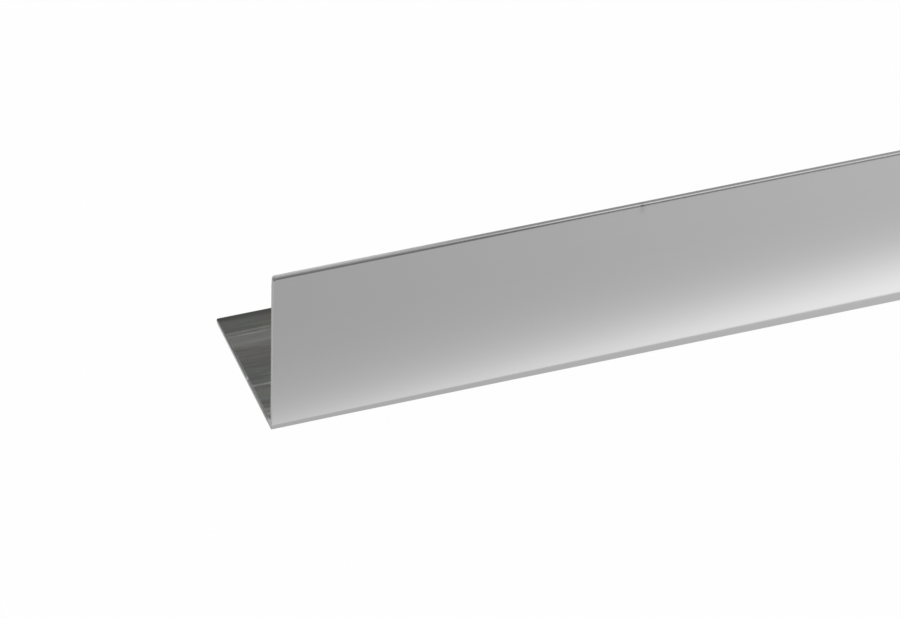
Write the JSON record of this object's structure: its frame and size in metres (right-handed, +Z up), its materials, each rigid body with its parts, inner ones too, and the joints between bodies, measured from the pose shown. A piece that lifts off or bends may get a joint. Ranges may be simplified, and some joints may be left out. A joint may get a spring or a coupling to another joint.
{
  "type": "aluminium angle profile",
  "caption": "Straight bar of thin equal-leg aluminium angle, L-shaped in section, cut square at both ends, for edging, corner trim and light framing.",
  "frame": {"origin": "on the floor under the middle of the bar's box: half way along it, and half way between the outer face of the upright leg and the toe of the flat leg", "axes": "+X along the bar, +Z up along the upright leg, +Y from the heel towards the toe of the flat leg"},
  "size_m": [1, 0.025, 0.025],
  "materials": {
    "aluminium": "mill finish as extruded: bright on the outer faces, duller with die lines inside"
  },
  "bodies": {
    "root": {"angle_profile": "aluminium"}
  },
  "joints": []
}
